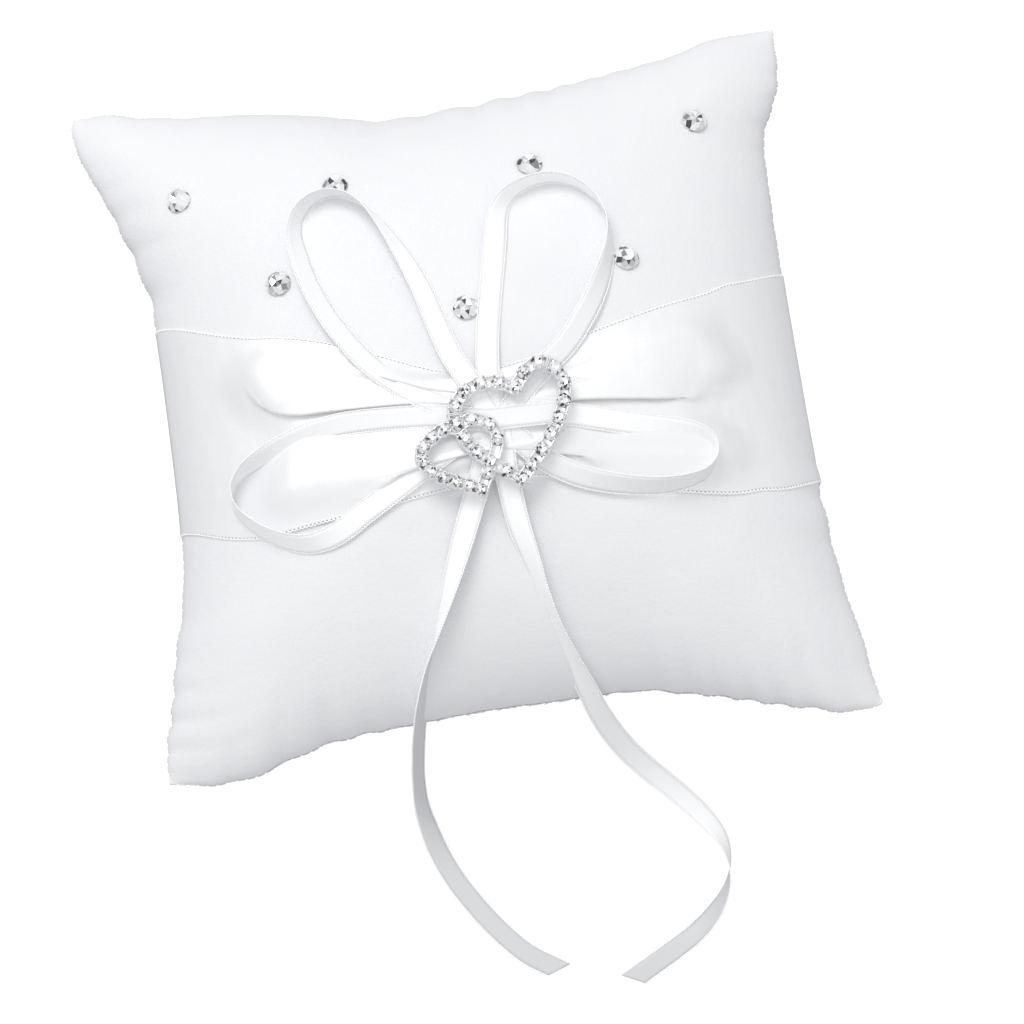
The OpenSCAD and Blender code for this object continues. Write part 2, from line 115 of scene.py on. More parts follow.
LOWER_LEFT_ROUTE = [
    (23, -17.8, 64.8, 0), (17, -17.7, 65.4, 0), (10, -17.6, 65.6, 0), (3.5, -17.5, 65.6, 0),
    (-2.5, -16.5, 65.4, 0), (-9, -14.8, 64.9, 2), (-17, -13.5, 64, 5), (-27, -12.5, 62.8, 8),
    (-37, -12, 61.4, 12), (-46, -12.8, 59.6, 20), (-54, -14.5, 57.3, 32), (-61, -16.8, 55, 50),
    (-66.5, -19.5, 52.8, 68), (-70, -23.5, 51, 85), (-70, -28.5, 50.6, 95), (-67, -33.5, 51.8, 102),
    (-62.5, -38, 53.2, 110), (-57, -41.5, 54.6, 118), (-51.5, -43.3, 55.8, 130),
    (-46, -43, 56.8, 148), (-40.5, -41, 57.8, 162), (-34.5, -37.5, 59, 170), (-28, -34, 60.2, 175),
    (-20.5, -30, 61.6, 178), (-12, -25.5, 63.4, 180), (1.5, -18.3, 64.9, 180),
]
LOWER_RIGHT_ROUTE = [
    (6.5, -18.5, 64.9, 180), (13, -27, 63.8, 176), (19, -32, 62.6, 165), (26, -36, 61.6, 150),
    (34, -38.8, 61, 138), (42.5, -40.6, 60.3, 128), (50, -41, 59.2, 120), (56.5, -40, 57.9, 110),
    (61.2, -38, 56.8, 100), (64, -34.6, 56.2, 90), (64.3, -30.8, 56.4, 80), (61.8, -27.7, 57.1, 60),
    (55.5, -25.4, 58.5, 38), (46, -23.5, 60.2, 22), (37, -21.3, 61.8, 12), (27, -18.8, 63.2, 6),
    (17, -17, 64.6, 2), (8, -17, 65, 0),
]
LEFT_TAIL_ROUTE = [
    (4, -18, 64.9, 0), (0, -29, 64, 0), (-3.5, -37, 62.4, -4), (-7.5, -46, 60.6, -12),
    (-11.5, -55, 58.4, -28), (-15.5, -64, 55.2, -52), (-19.5, -73, 50.6, -78),
    (-23, -80.5, 45.2, -98), (-25.7, -88, 38.5, -112), (-27.2, -93, 29.5, -118),
    (-28.2, -97, 18, -120), (-28.9, -101.5, 8.5, -124), (-29, -107.5, 3.6, -134),
    (-28, -113.5, 2.2, -150), (-26, -121, 1.2, -166), (-22.8, -129, 0.7, -175),
    (-18, -137.5, 0.5, -180), (-12.5, -145.5, 0.5, -180), (-5.5, -153.5, 0.5, -180),
    (3, -159.5, 0.5, -180),
]
RIGHT_TAIL_ROUTE = [
    (6, -18, 64.9, 0), (5.5, -30, 63.8, -2), (6, -38, 62.2, -8), (7, -47, 60.2, -22),
    (9, -56, 57.6, -45), (11.2, -65, 54.2, -66), (13.8, -73.5, 49.8, -74), (16.8, -81.5, 43.8, -62),
    (20, -88.5, 36, -42), (23, -94, 27, -30), (26.5, -98, 17.5, -22), (31, -102.3, 9, -14),
    (36.5, -107.2, 3.6, -6), (42.5, -113, 1.6, 4), (48, -119.5, 1.4, 14), (52, -126, 2.4, 32),
    (54, -132, 3.3, 62), (54, -138.5, 3.6, 90), (51.8, -144.5, 3.3, 118), (47.5, -150, 2.3, 146),
    (42, -154.5, 1.2, 166), (36, -158, 0.6, 176), (29.5, -161.5, 0.5, 180), (23, -165, 0.5, 180),
]


def unit(v):
    return v / np.linalg.norm(v, axis=-1, keepdims=True)


def curve(points, steps):
    """A smooth curve through the points, with steps points to each stretch."""
    p = np.array(points, float)
    p = np.vstack([2 * p[0] - p[1], p, 2 * p[-1] - p[-2]])
    t = np.linspace(0, 1, steps, endpoint=False)[:, None]
    out = []
    for a, b, c, d in zip(p[:-3], p[1:-2], p[2:-1], p[3:]):
        out.append((2 * b + (c - a) * t + (2 * a - 5 * b + 4 * c - d) * t**2
                    + (3 * b - a - 3 * c + d) * t**3) / 2)
    return np.vstack(out + [p[-2:-1]])


def value_at(pairs, x):
    """Value at x of the smooth line through the pairs."""
    line = curve(pairs, 8)
    return np.interp(x, line[:, 0], line[:, 1])


def run_lengths(points):
    """The distance along a line of points up to each of them."""
    steps = np.linalg.norm(np.diff(points[:, :3], axis=0), axis=1)
    return np.concatenate([[0], np.cumsum(steps)])


def evenly(points, spacing):
    """The same line with its points evenly spaced, about spacing apart."""
    run = run_lengths(points)
    count = max(2, round(run[-1] / spacing) + 1)
    at = np.linspace(0, run[-1], count)
    return np.stack([np.interp(at, run, column) for column in points.T], axis=-1)


def make_mesh(name, points, faces, material, smooth=True):
    mesh = bpy.data.meshes.new(name)
    mesh.from_pydata([tuple(p) for p in points], [], faces)
    mesh.validate()
    mesh.polygons.foreach_set("use_smooth", [smooth] * len(mesh.polygons))
    mesh.materials.append(material)
    piece = bpy.data.objects.new(name, mesh)
    bpy.context.scene.collection.objects.link(piece)
    return piece


def set_cloth_uv(piece, uv):
    """Gives each vertex its place on the flat cloth, in metres, which the weave follows."""
    mesh = piece.data
    layer = mesh.uv_layers.new(name="cloth")
    corner = np.zeros(len(mesh.loops), int)
    mesh.loops.foreach_get("vertex_index", corner)
    layer.data.foreach_set("uv", np.asarray(uv)[corner].ravel())


def grid_faces(rows, columns, flip=False):
    a = (np.arange(rows - 1)[:, None] * columns + np.arange(columns - 1)).ravel()
    quads = np.stack([a, a + 1, a + columns + 1, a + columns], axis=-1)
    return (quads[:, ::-1] if flip else quads).tolist()


def ring_faces(rings, sides, closed=False):
    """Faces between each ring of points and the next, and back to the first one if closed."""
    faces = []
    for i in range(rings if closed else rings - 1):
        here, after = i * sides, (i + 1) % rings * sides
        for k in range(sides):
            beside = (k + 1) % sides
            faces.append([here + k, after + k, after + beside, here + beside])
    return faces


def rim_of(grid):
    """The outer values of a square grid, once round it."""
    return np.concatenate([grid[0, :-1], grid[:-1, -1], grid[-1, :0:-1], grid[:0:-1, 0]])


def thicken(piece, thickness, offset):
    solid = piece.modifiers.new("thickness", "SOLIDIFY")
    solid.thickness = thickness
    solid.offset = offset


def tube_mesh(path, radius, sides=8, closed=False):
    """Points and faces of a round tube along a path."""
    path = np.asarray(path, float)
    if closed:
        heading = unit(np.roll(path, -1, axis=0) - np.roll(path, 1, axis=0))
    else:
        heading = unit(np.gradient(path, axis=0))
    guide = np.array([0.0, 0.0, 1.0])
    if abs(heading[:, 2]).mean() > 0.8:
        guide = np.array([0.0, 1.0, 0.0])
    side = unit(np.cross(heading, guide))
    up = np.cross(side, heading)
    turn = np.linspace(0, 2 * math.pi, sides, endpoint=False)
    ring = np.cos(turn)[None, :, None] * side[:, None] + np.sin(turn)[None, :, None] * up[:, None]
    radius = np.broadcast_to(np.asarray(radius, float), (len(path),))
    points = (path[:, None] + ring * radius[:, None, None]).reshape(-1, 3)
    # A quad that starts at its last corner is split along its other diagonal
    faces = [face[3:] + face[:3] for face in ring_faces(len(path), sides, closed)]
    if not closed:
        faces.append(list(range(sides)))
        faces.append([len(points) - 1 - k for k in range(sides)])
    return points, faces


def joined(parts):
    """One list of points and one of faces from several."""
    points, faces, start = [], [], 0
    for part_points, part_faces in parts:
        points.extend(part_points)
        faces.extend([[start + i for i in face] for face in part_faces])
        start += len(part_points)
    return points, faces


def make_threads(name, node, paths, radius, material, closed=False):
    """One piece from several runs of sewing thread."""
    tubes = [tube_mesh(path, radius, 6, closed) for path in paths]
    piece = make_mesh(name, *joined(tubes), material)
    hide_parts(node)
    return piece


# ------------------------------------------------------------------------------ camera

def add_camera():
    """The camera looks down at the pillow, from a little to its left."""
    azimuth, elevation, distance = math.radians(-7.854), math.radians(73), 1.5
    target = Vector((0.0073, -0.031, 0.02))
    towards = Vector((math.sin(azimuth) * math.cos(elevation),
                      -math.cos(azimuth) * math.cos(elevation), math.sin(elevation)))
    camera = bpy.data.objects.new("camera", bpy.data.cameras.new("camera"))
    camera.data.lens = 186.3
    camera.data.sensor_width = 36
    camera.data.clip_end = 20
    camera.location = target + distance * towards
    camera.rotation_euler = towards.to_track_quat("Z", "Y").to_euler()
    bpy.context.scene.collection.objects.link(camera)
    bpy.context.scene.camera = camera


# --------------------------------------------------------------------------- materials

def new_material(name, colour, roughness, **sockets):
    """A material and its shader, with plain values on the shader's sockets."""
    material = bpy.data.materials.new(name)
    material.use_nodes = True
    shader = material.node_tree.nodes["Principled BSDF"]
    shader.inputs["Base Color"].default_value = (*colour, 1)
    shader.inputs["Roughness"].default_value = roughness
    for socket, value in sockets.items():
        shader.inputs[socket.replace("_", " ")].default_value = value
    return material, shader


def add_node(material, kind, **inputs):
    node = material.node_tree.nodes.new(kind)
    for name, value in inputs.items():
        node.inputs[name.replace("_", " ")].default_value = value
    return node


def link(material, source, target):
    material.node_tree.links.new(source, target)


def drive(material, shader, **sources):
    """Links each source to the shader's socket of that name."""
    for socket, source in sources.items():
        link(material, source, shader.inputs[socket.replace("_", " ")])


def cloth_place(material):
    """The place on the flat cloth, in metres."""
    uv = material.node_tree.nodes.new("ShaderNodeUVMap")
    uv.uv_map = "cloth"
    return uv.outputs["UV"]


def object_place(material):
    """The place in the piece's own space, in metres."""
    return material.node_tree.nodes.new("ShaderNodeTexCoord").outputs["Object"]


def wave(material, place, direction, pitch, distortion=0.0):
    """Parallel ribs one pitch apart."""
    node = add_node(material, "ShaderNodeTexWave", Scale=math.pi / 10 / pitch,
                    Distortion=distortion)
    node.bands_direction = direction
    link(material, place, node.inputs["Vector"])
    return node.outputs["Fac"]


def mottle(material, place, size, detail=3.0):
    """Soft irregular spots of about the given size."""
    node = add_node(material, "ShaderNodeTexNoise", Scale=1 / size, Detail=detail)
    link(material, place, node.inputs["Vector"])
    return node.outputs["Fac"]


def bump(material, height, depth, below=None):
    """Relief of the given depth, on top of the relief below it."""
    node = add_node(material, "ShaderNodeBump", Strength=1.0, Distance=depth)
    link(material, height, node.inputs["Height"])
    if below is not None:
        link(material, below, node.inputs["Normal"])
    return node.outputs["Normal"]


def blended(material, factor, low, high):
    """A value that runs from low to high with the factor."""
    ramp = material.node_tree.nodes.new("ShaderNodeMapRange")
    ramp.inputs["From Min"].default_value = 0.3
    ramp.inputs["From Max"].default_value = 0.7
    ramp.inputs["To Min"].default_value = low
    ramp.inputs["To Max"].default_value = high
    link(material, factor, ramp.inputs["Value"])
    return ramp.outputs["Result"]


def tinted(material, factor, low, high):
    """A colour that runs from low to high with the factor."""
    mix = material.node_tree.nodes.new("ShaderNodeMix")
    mix.data_type = "RGBA"
    mix.inputs["A"].default_value = (*low, 1)
    mix.inputs["B"].default_value = (*high, 1)
    link(material, factor, mix.inputs["Factor"])
    return mix.outputs["Result"]


def cover_satin():
    """Matte white satin with a fine crepe grain."""
    material, shader = new_material("cover_satin", (0.86, 0.865, 0.885), 0.55,
                                    Sheen_Weight=0.15, Sheen_Roughness=0.5)
    place = cloth_place(material)
    grain = mottle(material, place, 0.0014, 4.0)
    cloud = mottle(material, place, 0.02)
    weave = bump(material, wave(material, place, "X", 0.0006), 0.000012)
    weave = bump(material, wave(material, place, "Y", 0.0006), 0.000012, weave)
    drive(material, shader,
          Base_Color=tinted(material, cloud, (0.84, 0.845, 0.865), (0.885, 0.89, 0.905)),
          Roughness=blended(material, grain, 0.48, 0.62),
          Normal=bump(material, grain, 0.00012, weave))
    return material


def ribbon_satin(name, colour, roughness, rib, rib_depth, metallic=0.0, painted_glow=0.0):
    """Glossy ribbon satin with fine ribs across the ribbon. painted_glow is painted light: an even
    emitted glow that stands in for the light let through the thin satin.
    """
    material, shader = new_material(name, colour, roughness, Metallic=metallic,
                                    Sheen_Weight=0.1, Sheen_Roughness=0.4,
                                    Emission_Color=(1, 1, 1, 1), Emission_Strength=painted_glow)
    place = cloth_place(material)
    thread = mottle(material, place, 0.0009, 2.0)
    darker = tuple(0.97 * c for c in colour)
    ribs = bump(material, wave(material, place, "X", rib, 0.6), rib_depth)
    drive(material, shader, Base_Color=tinted(material, thread, darker, colour),
          Roughness=blended(material, thread, roughness - 0.04, roughness + 0.04),
          Normal=bump(material, thread, 0.00003, ribs))
    return material


def thread_material():
    """Twisted white sewing thread."""
    material, shader = new_material("sewing_thread", (0.9, 0.9, 0.91), 0.5, Sheen_Weight=0.3)
    ply = mottle(material, object_place(material), 0.0003)
    drive(material, shader, Base_Color=tinted(material, ply, (0.8, 0.8, 0.82), (0.93, 0.93, 0.94)),
          Normal=bump(material, ply, 0.00008))
    return material


def fibre_material():
    """Loose polyester filling."""
    material, shader = new_material("polyester_fibre", (0.9, 0.9, 0.9), 0.9, Sheen_Weight=0.5)
    tuft = mottle(material, object_place(material), 0.006, 8.0)
    drive(material, shader,
          Base_Color=tinted(material, tuft, (0.82, 0.82, 0.82), (0.95, 0.95, 0.95)),
          Normal=bump(material, tuft, 0.002))
    return material


def silver_material():
    """Bright silver plate with a slightly uneven polish."""
    dark, bright = (0.8, 0.8, 0.82), (0.98, 0.98, 0.99)
    material, shader = new_material("silver_plate", bright, 0.25, Metallic=1.0)
    wear = mottle(material, object_place(material), 0.0012, 5.0)
    drive(material, shader, Base_Color=tinted(material, wear, dark, bright),
          Roughness=blended(material, wear, 0.25, 0.37), Normal=bump(material, wear, 0.00003))
    return material


def crystal_material():
    """Foil-backed crystal with painted reflections: each facet's colour, from near black to white,
    paints the light it returns.
    """
    material, shader = new_material("foiled_crystal", (0.8, 0.8, 0.82), 0.06, Metallic=0.4,
                                    Coat_Weight=1.0, Coat_Roughness=0.02)
    shade = material.node_tree.nodes.new("ShaderNodeAttribute")
    shade.attribute_name = "facet_painted_reflection"
    ramp = material.node_tree.nodes.new("ShaderNodeValToRGB")
    ramp.color_ramp.elements[0].color = (0.05, 0.052, 0.056, 1)
    ramp.color_ramp.elements[1].color = (1, 1, 1, 1)
    middle = ramp.color_ramp.elements.new(0.5)
    middle.color = (0.7, 0.71, 0.74, 1)
    link(material, shade.outputs["Fac"], ramp.inputs["Fac"])
    drive(material, shader, Base_Color=ramp.outputs["Color"])
    return material


def glue_material():
    """Clear glue, a little uneven."""
    material, shader = new_material("clear_glue", (0.86, 0.87, 0.86), 0.15, Coat_Weight=0.6)
    smear = mottle(material, object_place(material), 0.001)
    drive(material, shader, Normal=bump(material, smear, 0.00005))
    return material


# ----------------------------------------------------------------------- pillow surface

def plan(u, v):
    """Place on the pillow's plan: u runs from the left side, -1, to the right, 1, and v runs up."""
    left_x = CORNER_PULL * (1 - v) / 2 - HALF
    bottom_y = CORNER_PULL * (1 - u) / 2 - HALF
    x = left_x * (1 - u) / 2 + HALF * (1 + u) / 2
    y = bottom_y * (1 - v) / 2 + HALF * (1 + v) / 2
    x = x + (LEFT_BOW * value_at(LEFT_SHAPE, v) * (1 - u)
             - RIGHT_BOW * value_at(RIGHT_SHAPE, v) * (1 + u)) / 2
    y = y + (BOTTOM_BOW * value_at(BOTTOM_SHAPE, u) * (1 - v)
             - TOP_BOW * value_at(TOP_SHAPE, u) * (1 + v)) / 2
    return x, y


def crown(u, v):
    """Share of the full rise, from 0 at the seams to 1 in the middle."""
    across, along = (np.maximum(0, 1 - np.abs(place) ** CROWN_POWER) for place in (u, v))
    return (across * along) ** CROWN_ROUND


def panel_point(u, v, rise):
    x, y = plan(u, v)
    z = SEAM_HEIGHT - CORNER_DROOP * np.abs(u * v) ** 4 + rise * crown(u, v)
    return np.stack([x, y, np.maximum(z, PANEL_THICKNESS)], axis=-1)


def grid_normals(points):
    across = np.gradient(points, axis=1)
    along = np.gradient(points, axis=0)
    return unit(np.cross(across, along))


def pucker(s, d, side):
    """Height of the seam's puckers, s along the seam and d into the panel from it."""
    crease = np.abs(np.sin(math.pi * s / 0.0105 + 1.4 * np.sin(s / 0.014 + side) + 1.1 * side))
    strength = 0.55 + 0.45 * np.sin(s / 0.021 + 2.3 * side)
    reach = 0.009 + 0.004 * np.sin(s / 0.0083 + 1.7 * side)
    return (crease - 0.65) * strength * np.exp(-((d / reach) ** 1.3))


def fill_lumps(x, y):
    """Slow unevenness of the filling."""
    return (np.sin(x / 0.0112 + 1.7 * np.sin(y / 0.0171))
            * np.sin(y / 0.0126 + 1.3 * np.sin(x / 0.0148))
            + 0.5 * np.sin(x / 0.0061 + y / 0.0083) * np.sin(y / 0.0057 - x / 0.0094))


def add_cloth(piece):
    """Stuffed satin, with the filling as pressure and slack cloth near the seam."""
    cloth = piece.modifiers.new("cloth", "CLOTH")
    settings = cloth.settings
    settings.quality = 6
    settings.mass = 0.00015
    settings.tension_stiffness = 18
    settings.compression_stiffness = 18
    settings.shear_stiffness = 8
    settings.bending_stiffness = 0.02
    settings.air_damping = 2
    settings.use_pressure = True
    settings.uniform_pressure_force = 1.2
    settings.vertex_group_mass = "seam"
    settings.vertex_group_shrink = "slack"
    settings.shrink_min = 0.0
    settings.shrink_max = -0.09
    settings.effector_weights.gravity = 0
    cloth.collision_settings.use_collision = False
    cloth.point_cache.frame_end = SETTLE_FRAMES


class Cover:
    """Grids of points for the front and back panels, which share their outline."""

    def __init__(self):
        even = np.linspace(-1, 1, PANEL_STEPS + 1)
        # Closer steps near the seams
        self.t = 0.35 * even + 0.65 * np.sin(even * math.pi / 2)
        self.u, self.v = np.meshgrid(self.t, self.t)
        self.front = self.puckered(panel_point(self.u, self.v, FRONT_RISE), 1)
        self.back = self.puckered(panel_point(self.u, self.v, -BACK_DEPTH), -1)
        edge = self.rim_mask()
        self.back[edge] = self.front[edge]

    def rim_mask(self):
        """True for the points on the seam."""
        return (np.abs(self.u) > 0.9999) | (np.abs(self.v) > 0.9999)

    def seam_distance(self):
        """Distance of every point from the nearest side."""
        return HALF * (1 - np.maximum(np.abs(self.u), np.abs(self.v)))

    def puckered(self, points, face):
        """The points with the seam's puckers and the filling's lumps. face: 1 front, -1 back."""
        height = np.zeros(self.u.shape)
        first = 0 if face > 0 else 4
        sides = [(self.v, 1 + self.u, 0), (self.v, 1 - self.u, 1), (self.u, 1 + self.v, 2),
                 (self.u, 1 - self.v, 3)]
        for s, d, side in sides:
            fade = 1 - np.abs(s) ** 6
            if side < 2:
                fade = fade * smooth_step((np.abs(s) - 0.28) / 0.1)
            height += PUCKER_HEIGHT * fade * pucker(HALF * s, HALF * d, side + first)
        lumps = fill_lumps(points[..., 0], points[..., 1] * face)
        height += LUMP_HEIGHT * lumps * crown(self.u, self.v)
        outward = grid_normals(points) * face
        return points + outward * height[..., None]

    def relax(self):
        """Lets the stuffed cover settle as cloth, with slack along the seam, so that it puckers."""
        side = PANEL_STEPS + 1
        edge = self.rim_mask().ravel()
        front_index = np.arange(side * side)
        back_index = np.where(edge, front_index, 0)
        back_index[~edge] = side * side + np.arange((~edge).sum())
        points = np.vstack([self.front.reshape(-1, 3), self.back.reshape(-1, 3)[~edge]])
        quads = np.array(grid_faces(side, side))
        faces = front_index[quads].tolist() + back_index[quads[:, ::-1]].tolist()
        material = bpy.data.materials.new("unused")
        piece = make_mesh("cover_cloth", points, faces, material)
        slack = np.exp(-self.seam_distance().ravel() / SLACK_REACH)
        slack = np.concatenate([slack, slack[~edge]])
        seam_group = piece.vertex_groups.new(name="seam")
        seam_group.add(np.flatnonzero(edge).tolist(), 1.0, "REPLACE")
        slack_group = piece.vertex_groups.new(name="slack")
        for index, weight in enumerate(slack):
            slack_group.add([index], float(weight), "REPLACE")
        scene = bpy.context.scene
        add_cloth(piece)
        for number in range(1, SETTLE_FRAMES + 1):
            scene.frame_set(number)
        shape = piece.evaluated_get(bpy.context.evaluated_depsgraph_get()).to_mesh()
        settled = np.zeros(len(points) * 3)
        shape.vertices.foreach_get("co", settled)
        settled = settled.reshape(-1, 3)
        bpy.data.objects.remove(piece)
        bpy.data.materials.remove(material)
        scene.frame_set(1)
        self.front = self.capped(self.front, settled[front_index].reshape(side, side, 3), 1)
        self.back = self.capped(self.back, settled[back_index].reshape(side, side, 3), -1)

    def capped(self, start, settled, face):
        """Keeps the settled points near their start, most of all outwards."""
        move = settled - start
        outward = grid_normals(start) * face
        rise = (move * outward).sum(axis=-1, keepdims=True)
        cap = np.where(rise > 0, MOST_RISE, MOST_SINK)
        kept_rise = cap * np.tanh(rise / cap)
        sideways = move - rise * outward
        points = start + kept_rise * outward + sideways
        points[..., 2] = np.maximum(points[..., 2], PANEL_THICKNESS)
        return points

    def sample(self, grid, u, v):
        """Values of a grid at places u, v, by linear mixing."""
        i = np.clip(np.searchsorted(self.t, u, side="right") - 1, 0, PANEL_STEPS - 1)
        j = np.clip(np.searchsorted(self.t, v, side="right") - 1, 0, PANEL_STEPS - 1)
        a = ((u - self.t[i]) / (self.t[i + 1] - self.t[i]))[..., None]
        b = ((v - self.t[j]) / (self.t[j + 1] - self.t[j]))[..., None]
        low = grid[j, i] * (1 - a) + grid[j, i + 1] * a
        high = grid[j + 1, i] * (1 - a) + grid[j + 1, i + 1] * a
        return low * (1 - b) + high * b

    def front_at(self, u, v):
        """Point and outward normal of the front panel."""
        return self.sample(self.front, u, v), unit(self.sample(grid_normals(self.front), u, v))


def make_cover(cover, satin):
    side = PANEL_STEPS + 1
    uv = np.stack([cover.u * HALF, cover.v * HALF], axis=-1).reshape(-1, 2)
    pieces = []
    for name, node, grid, flip, lift in (
        ("front_cover", "front_panel", cover.front, False, 0.00005),
        ("back_cover", "back_panel", cover.back, True, -0.00005),
    ):
        points = grid.reshape(-1, 3) + np.array([0, 0, lift])
        piece = make_mesh(name, points, grid_faces(side, side, flip), satin)
        set_cloth_uv(piece, uv)
        thicken(piece, PANEL_THICKNESS, -1)
        smooth = piece.modifiers.new("smooth", "SUBSURF")
        smooth.levels = smooth.render_levels = 1
        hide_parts(node)
        pieces.append(piece)
    return pieces


def make_filling(cover, material):
    """Fibre filling, a little inside both panels."""
    inset = 0.0022
    step = 2
    front = cover.front - grid_normals(cover.front) * inset
    back = cover.back + grid_normals(cover.back) * inset
    pull = 1 - 3 * inset / HALF
    parts = []
    for grid in (front, back):
        points = grid[::step, ::step].copy()
        points[..., :2] *= pull
        points[..., 2] = np.maximum(points[..., 2], 2 * PANEL_THICKNESS)
        parts.append(points)
    count = parts[0].shape[0]
    points = np.vstack([part.reshape(-1, 3) for part in parts])
    total = count * count
    faces = grid_faces(count, count)
    faces += (np.array(grid_faces(count, count, True)) + total).tolist()
    rim = rim_of(np.arange(total).reshape(count, count))
    for a, b in zip(rim.tolist(), np.roll(rim, -1).tolist()):
        faces.append([b, a, a + total, b + total])
    piece = make_mesh("fibre_filling", points, faces, material)
    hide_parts("stuffing")
    return piece


def make_seam(cover, material):
    """Short stitches that show in the groove between the panels."""
    rim = rim_of(cover.front)
    line = evenly(np.vstack([rim, rim[:1]]), 0.0004)
    middle = line[:, :2].mean(axis=0)
    stitch, gap = 6, 1
    paths = []
    for start in range(0, len(line) - stitch - 1, stitch + gap):
        run = line[start:start + stitch].copy()
        inward = unit(middle - run[:, :2])
        run[:, :2] += inward * 0.0001
        paths.append(run)
    return make_threads("seam_stitches", "seam_thread", paths, 0.00018, material)


def make_closing_stitches(cover, material):
    """Slanting hand stitches along the middle of the lower seam."""
    line = cover.front[0]
    rise = np.array([0.0004, 0.0002, 0.0006])
    paths = []
    for x in np.linspace(-0.026, 0.026, 13):
        foot = np.array([x] + [np.interp(x, line[:, 0], line[:, axis]) for axis in (1, 2)])
        bow = foot + np.array([0, -0.0001, 0])
        paths.append(curve([foot - rise, bow, foot + rise * (1, -1, 1)], 4))
    return make_threads("ladder_stitches", "closing_stitches", paths, 0.00012, material)


# ------------------------------------------------------------------------- wide ribbon

GATHER_DROP, BAND_DROP, BAND_FALL = 0.155, 0.03, 0.03
GATHER_REACH = 0.42
BAND_SHARE, GATHERED_SHARE = 0.3, 0.17
# Pleats that take up the ribbon's width, from its upper edge to its lower one: the pleat's line as
# (x, y), and its depth as (x, depth)
PLEATS = [
    ([(-0.1, 0.018), (-0.06, 0.014), (-0.034, 0.004), (-0.021, -0.0027), (-0.01, -0.007),
      (0.005, -0.009), (0.025, -0.003), (0.05, 0.004), (0.1, 0.01)],
     [(-0.05, 0), (-0.038, 0), (-0.02, 0.002), (0, 0.003), (0.012, 0.003), (0.028, 0), (0.04, 0)]),
    ([(-0.1, -0.002), (-0.066, 0.005), (-0.0602, 0.0015), (-0.0557, -0.0045), (-0.048, -0.007),
      (-0.04, -0.0077), (-0.0168, -0.0096), (0.005, -0.0135), (0.03, -0.0145), (0.045, -0.0157),
      (0.0567, -0.0165), (0.063, -0.0145), (0.07, -0.011), (0.1, -0.01)],
     [(-0.075, 0), (-0.063, 0), (-0.055, 0.002), (-0.045, 0.0035), (-0.017, 0.0065), (0.005, 0.008),
      (0.03, 0.006), (0.045, 0.0035), (0.056, 0.0016), (0.066, 0), (0.078, 0)]),
    ([(-0.1, -0.02), (-0.06, -0.028), (-0.04, -0.0325), (-0.015, -0.0275), (0.005, -0.026),
      (0.03, -0.031), (0.05, -0.032), (0.1, -0.026)],
     [(-0.048, 0), (-0.036, 0), (-0.015, 0.0025), (0.005, 0.0035), (0.02, 0.0025), (0.036, 0),
      (0.048, 0)]),
]
# Where the ribbon comes down onto the pillow on both sides of the gathers, as (y, x)
LEFT_LANDING = [(-0.04, -0.057), (-0.03, -0.061), (-0.022, -0.06), (-0.014, -0.0565),
                (-0.01, -0.056), (-0.005, -0.0603), (0.002, -0.0641), (0.009, -0.0655),
                (0.018, -0.061)]
RIGHT_LANDING = [(-0.04, 0.07), (-0.033, 0.0716), (-0.026, 0.0694), (-0.019, 0.0623),
                 (-0.0136, 0.0686), (-0.006, 0.0741), (0.005, 0.0686), (0.013, 0.0677),
                 (0.02, 0.067)]
ROLL_RADIUS = 0.00045
WAVE_REACH, WAVE_HEIGHT = 0.0032, 0.0009


def band_middle(u):
    """Place of the ribbon's middle line at u, as v."""
    return -GATHER_DROP * (1 - np.abs(u) ** 2.2) - BAND_DROP - BAND_FALL * u


def band_half(u):
    """Half of the ribbon's width at u, as a share of v."""
    return BAND_SHARE - (BAND_SHARE - GATHERED_SHARE) * np.exp(-((u / GATHER_REACH) ** 2))


def smooth_step(t):
    t = np.clip(t, 0, 1)
    return t * t * (3 - 2 * t)


def billow(x, y):
    """How far the ribbon stands off the pillow between its gathers and where it lands."""
    lift = np.zeros(np.broadcast(x, y).shape)
    for landing, side, height, crease in ((LEFT_LANDING, 1, 0.0032, -0.008),
                                          (RIGHT_LANDING, -1, 0.0026, -0.0165)):
        inside = side * (x - value_at(landing, y))
        rise = smooth_step((inside + 0.006) / 0.015)
        sink = 0.35 + 0.65 * np.exp(-((np.maximum(inside, 0) / 0.024) ** 2))
        lobes = 1 - 0.5 * np.exp(-(((y - crease) / 0.006) ** 2))
        here = side * (x - 0.005) < 0
        lift = np.where(here, height * rise * sink * lobes, lift)
    return lift


def pleat_section(line, depth):
    """Cross-section of one pleat as (across, lift): a soft wave that folds over as it deepens."""
    folded = smooth_step(depth / 0.003)
    r = ROLL_RADIUS
    over = np.radians(np.linspace(90, -90, ROLL_ROWS))
    under = np.radians(np.linspace(90, 270, ROLL_ROWS))
    tight = np.vstack([
        np.stack([line - r + r * np.cos(over), 3 * r + r * np.sin(over)], axis=-1),
        np.stack([line - depth + r * np.cos(under), r + r * np.sin(under)], axis=-1),
    ])
    spread = np.linspace(-1, 1, 2 * ROLL_ROWS)
    height = WAVE_HEIGHT * smooth_step(depth / 0.0015)
    wave_lift = height * np.cos(spread * math.pi / 2) ** 2
    loose = np.stack([line + WAVE_REACH * spread, wave_lift], axis=-1)
    return loose * (1 - folded) + tight * folded


def pleated_section(width, pleats):
    """Cross-section of the ribbon as (across, lift) from its upper edge, with its pleats in it."""
    points = [(0.0, 0.0)]
    for line, depth in pleats:
        pleat = pleat_section(line, depth)
        points += np.linspace(points[-1], pleat[0], PANEL_ROWS)[1:-1].tolist()
        points += pleat.tolist()
    points += np.linspace(points[-1], (width, 0.0), PANEL_ROWS)[1:].tolist()
    return np.array(points)


